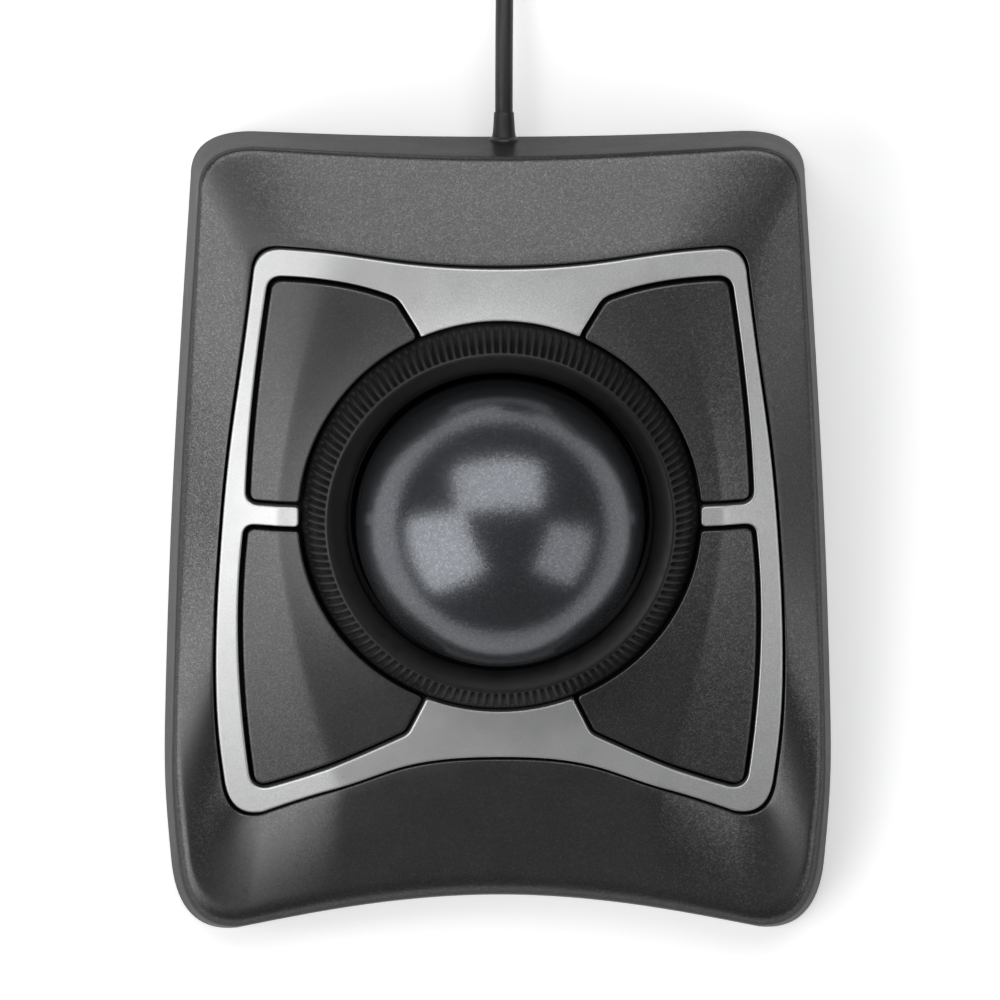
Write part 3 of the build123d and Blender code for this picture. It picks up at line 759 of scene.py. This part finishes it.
def shoulder_cut():
    """How far the shoulder's rounding reaches down the wall and up the bevel. It is longest at the front."""
    rear_cut, side_cut, front_cut = 1.5, 1.7, 4.6
    side = np.array([side_cut + (front_cut - side_cut) * ease((share - 0.7) / 0.35) for share in
                     np.linspace(0, 1, side_steps, endpoint=False)])
    rear_turn = np.linspace(rear_cut, side_cut, corner_steps, endpoint=False)
    front_turn = np.linspace(side[-1], front_cut, corner_steps, endpoint=False)
    right = [np.full(end_steps, rear_cut), rear_turn, side, front_turn]
    left = [np.full(end_steps, front_cut), front_turn[::-1], side[::-1], rear_turn[::-1]]
    return np.concatenate(right + left)


def make_bezel():
    lines = [outline_line(bezel_line)[::-1], frame_opening()[::-1]]
    verts, faces = crowned_plate(lines, wall, frame_edge_r)
    add_piece("deck_frame", verts, faces, looks["frame_paint"], "housing", "frame_paint", "bezel_frame")


def make_buttons():
    for end in ("rear", "front"):
        line = button_line(end == "rear")
        for side in ("right", "left"):
            plan = line if side == "right" else line[::-1] * np.array((-1, 1))
            verts, faces = crowned_plate([plan], wall, cap_edge_r)
            node = f"button_{end}_{side}"
            look, body = looks["button_paint"], f"{node}_body"
            add_piece(f"{node}_cap", verts, faces, look, body, "button_paint", node)


# ---------------------------------------------------------------- ring and ball
def make_scroll_ring():
    """The ring that scrolls: a smooth bowl inside a crest, a ribbed slope and a plain rim."""
    ribs, steps_per_rib = 144, 8
    count = ribs * steps_per_rib
    slope_start, slope_end, groove, groove_lean = 33.5, 37.3, 0.85, 0.7
    slope_top, rib_foot, skirt_inner_r, skirt_bottom, underside = 1.9, -2.9, 36.4, -6.5, -3.6
    profile = [(ring_inner_r, -1.2), (ring_inner_r, 0.2), (29.3, 0.5), (30.4, 1.15), (31.6, 1.75)]
    profile += [(32.4, 2.08), (32.75, 2.18), (33.1, 2.18), (33.3, 2.08), (slope_start, slope_top)]
    for r in (33.75, 34.25, 34.75, 35.25, 35.75, 36.25, 36.75, 37.1):
        profile.append((r, slope_top - 0.62 * (r - slope_start) - 0.16 * (r - slope_start) ** 2))
    profile += [(slope_end, -2.8), (37.7, -3.5), (37.95, -4.2), (ring_outer_r, -4.8)]
    profile += [(ring_outer_r, skirt_bottom), (skirt_inner_r, skirt_bottom)]
    profile += [(skirt_inner_r, underside), (31.0, underside)]
    wave = (1 - np.cos(np.arange(count) * 2 * pi / steps_per_rib)) / 2
    wave = wave**1.5
    loops = []
    for r, h in profile:
        ends = ease((r - slope_start + 0.1) / 0.35) * ease((slope_end + 0.1 - r) / 0.3)
        depth = groove * ends * (1 - 0.15 * (r - slope_start)) if h > rib_foot else 0
        around = circle(1.0, count)
        reach = r - depth * wave * groove_lean
        loops.append(np.column_stack((around * reach[:, None], h - depth * wave * groove_lean)))
    verts, faces = joined_loops([from_deck(loop) for loop in loops])
    look = looks["ring_plastic"]
    add_piece("scroll_ring_ribbed", verts, faces, look, "ring_body", "ring_plastic", "scroll_ring")


def make_ball():
    rows, around = 128, 192
    loops = []
    for row in range(1, rows):
        angle = pi * row / rows
        height = np.full(around, -ball_r * cos(angle))
        loops.append(np.column_stack((circle(ball_r * sin(angle), around), height)))
    verts, faces = capped_loops([from_deck(loop) for loop in loops])
    poles = [deck_centre - ball_r * deck_up, deck_centre + ball_r * deck_up]
    verts[-2:] = poles
    add_piece("trackball", verts, faces, looks["ball_resin"], "ball_body", "ball_resin", "ball")


# ---------------------------------------------------------------- cord's pieces
def lathed_along_y(profile, count=48):
    """Loops about the cord's axis at its exit, from (distance along Y, radius) pairs."""
    loops = []
    for y, radius in profile:
        ring = circle(radius, count)
        x, z = cord_exit[0] + ring[:, 0], cord_exit[2] + ring[:, 1]
        loops.append(np.column_stack((x, np.full(count, y), z)))
    return loops


def make_strain_relief():
    """A grommet held by the wall, and a plain sleeve that narrows on to the cord."""
    profile = [(71.4, 1.75), (71.4, 4.3), (71.6, 4.6), (73.4, 4.6), (73.6, 4.3), (73.6, 2.9), (76.5, 2.9)]
    profile += [(76.9, 2.75), (77.2, 2.3), (78.5, 2.12), (80.5, 2.0), (81.7, 1.93), (82.0, 1.85)]
    profile += [(82.0, 1.75)]
    verts, faces = capped_loops(lathed_along_y(profile))
    return add_piece("strain_relief_boot", verts, faces, looks["cord_rubber"], "housing", "cord_rubber",
                     "strain_relief", crease=30)


def rounded_section(half_x, half_z, corner, count=12):
    """A rectangle with round corners, in X and Z."""
    line = []
    for turn, (cx, cz) in enumerate(((1, 1), (-1, 1), (-1, -1), (1, -1))):
        angles = np.radians(np.linspace(0, 90, count) + 90 * turn)
        line.append(np.column_stack((cx * (half_x - corner) + corner * np.cos(angles),
                                     cz * (half_z - corner) + corner * np.sin(angles))))
    return np.concatenate(line)


def make_plug():
    """The grip with finger grooves, and the gold contacts in the plug's mouth."""
    low, high = (np.array(corner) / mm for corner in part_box("usb_plug_grip"))
    middle_x, middle_z = (low[0] + high[0]) / 2, (low[2] + high[2]) / 2
    half_x, half_z = (high[0] - low[0]) / 2, (high[2] - low[2]) / 2
    length = high[1] - low[1]
    stations = [(0.0, 0.86), (0.01, 0.93), (0.03, 0.98), (0.06, 1.0), (0.3, 1.0)]
    grooves, groove_start, groove_pitch = 4, 0.34, 0.1
    for i in range(grooves):
        start = groove_start + groove_pitch * i
        stations += [(start, 1.0), (start + 0.02, 0.93), (start + 0.045, 0.93), (start + 0.065, 1.0)]
    stations += [(0.8, 1.0), (0.88, 0.94), (0.94, 0.8), (0.98, 0.62), (1.0, 0.48)]
    loops = []
    for share, size in stations:
        section = rounded_section(half_x * size, half_z * size, 2.2 * size)
        y = np.full(len(section), low[1] + length * share)
        loops.append(np.column_stack((middle_x + section[:, 0], y, middle_z + section[:, 1])))
    verts, faces = capped_loops(loops)
    grip = add_piece("plug_grip", verts, faces, looks["cord_rubber"], "housing", "cord_rubber",
                     "usb_plug_grip", crease=30)
    insert_low, insert_high = (np.array(corner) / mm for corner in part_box("usb_plug_insert"))
    contacts = []
    for place in (-3.5, -1.0, 1.0, 3.5):
        section = rounded_section(0.55, 0.09, 0.08, 4)
        loops = []
        for y in (insert_low[1] + 0.5, insert_low[1] + 8.5):
            centre = np.column_stack((middle_x + place + section[:, 0], np.full(len(section), y),
                                      insert_high[2] + 0.05 + section[:, 1]))
            loops.append(centre)
        verts, faces = capped_loops(loops)
        name = f"plug_contact_{len(contacts) + 1}"
        contacts.append(add_piece(name, verts, faces, gold, "housing", "plug_metal"))
    return [grip] + contacts


def make_tie():
    """A ridged strap round the coil's bundle."""
    turn = radians(-50)
    mean_r, side, lift, width = 18.7, 13.6, 0.4, 5.0
    out = np.array((cos(turn), sin(turn), 0))
    along = np.array((-sin(turn), cos(turn), 0))
    centre = np.array((*coil_centre, side / 2 + lift)) + mean_r * out
    loops = []
    steps = 11
    for step in range(steps):
        offset = width * (step / (steps - 1) - 0.5)
        proud = 0.78 if step in (0, steps - 1) else 0.62 + 0.16 * (step % 2)
        section = rounded_section(side / 2 + proud, side / 2 + min(proud, lift), 2.4)
        loops.append(centre + section[:, :1] * out + section[:, 1:] * np.array((0, 0, 1)) + offset * along)
    for offset in (width / 2, -width / 2):
        section = rounded_section(side / 2 + 0.35, side / 2 + 0.02, 2.2)
        loops.append(centre + section[:, :1] * out + section[:, 1:] * np.array((0, 0, 1)) + offset * along)
    verts, faces = joined_loops(loops)
    look = looks["foot_rubber"]
    return add_piece("coil_strap", verts, faces, look, "housing", "cord_rubber", "cord_tie")


# ---------------------------------------------------------------- floor and lights
def make_floor():
    bpy.ops.mesh.primitive_plane_add(size=8, location=(0, 0, 0))
    floor = bpy.context.object
    floor.name = "floor"
    look = Look("floor", grey(0.88), 0.6)
    look.shades(look.noise(60.0), (0.3, grey(0.87)), (0.7, grey(0.89)))
    look.set(look.shader, {"Emission Color": (1, 1, 1, 1), "Emission Strength": 0.3})
    floor.data.materials.append(look.material)


def softbox(name, azimuth, from_zenith, width, height, radiance):
    """A rectangular light a metre from the object, facing it. Its width and height are given as angles."""
    target = Vector((0, 0, 0.03))
    turn, lean = radians(azimuth), radians(from_zenith)
    away = Vector((sin(lean) * cos(turn), sin(lean) * sin(turn), cos(lean)))
    light = bpy.data.lights.new(name, "AREA")
    light.shape = "RECTANGLE"
    light.size = 2 * tan(radians(width / 2))
    light.size_y = 2 * tan(radians(height / 2))
    light.energy = radiance * pi * light.size * light.size_y
    lamp = bpy.data.objects.new(name, light)
    lamp.location = target + away
    lamp.rotation_euler = away.to_track_quat("Z", "Y").to_euler()
    lamp.visible_camera = False
    bpy.context.scene.collection.objects.link(lamp)


def light_scene():
    """A dim room with a pale backdrop, and three soft boxes: a wide one to the rear and one on each side."""
    world = bpy.data.worlds.new("studio")
    world.use_nodes = True
    nodes, links = world.node_tree.nodes, world.node_tree.links
    room = nodes["Background"]
    room.inputs["Color"].default_value = (0.97, 0.98, 1.0, 1)
    room.inputs["Strength"].default_value = 0.13
    backdrop = nodes.new("ShaderNodeBackground")
    backdrop.inputs["Color"].default_value = (0.8, 0.81, 0.82, 1)
    seen = nodes.new("ShaderNodeLightPath")
    either = nodes.new("ShaderNodeMixShader")
    links.new(seen.outputs["Is Camera Ray"], either.inputs["Fac"])
    links.new(room.outputs["Background"], either.inputs[1])
    links.new(backdrop.outputs["Background"], either.inputs[2])
    links.new(either.outputs["Shader"], nodes["World Output"].inputs["Surface"])
    bpy.context.scene.world = world
    softbox("rear_box", azimuth=94, from_zenith=37, width=66, height=40, radiance=2.5)
    softbox("left_box", azimuth=201, from_zenith=51, width=52, height=54, radiance=2.8)
    softbox("right_box", azimuth=338, from_zenith=55, width=38, height=40, radiance=1.4)
    bpy.context.scene.view_settings.view_transform = "Standard"


# ---------------------------------------------------------------- everything
make_top_cover()
make_bezel()
make_buttons()
make_scroll_ring()
make_ball()
relief = make_strain_relief()
plug_pieces = make_plug()
strap = make_tie()

cord.data.materials.append(looks["cord_rubber"])
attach(cord, "housing")
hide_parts("cord_lead", "cord_coil", "cord_tail")

slot_of = {part["node"]: part["material_slot"] for part in frame["record"]["subparts"]}
darker = {"switch_board_left": black_board, "switch_board_right": black_board, "carrier_screws": black_steel}
for node, shape in frame["nodes"].items():
    shape.data.materials.clear()
    shape.data.materials.append(darker.get(node, looks[slot_of[node]]))

make_floor()
light_scene()
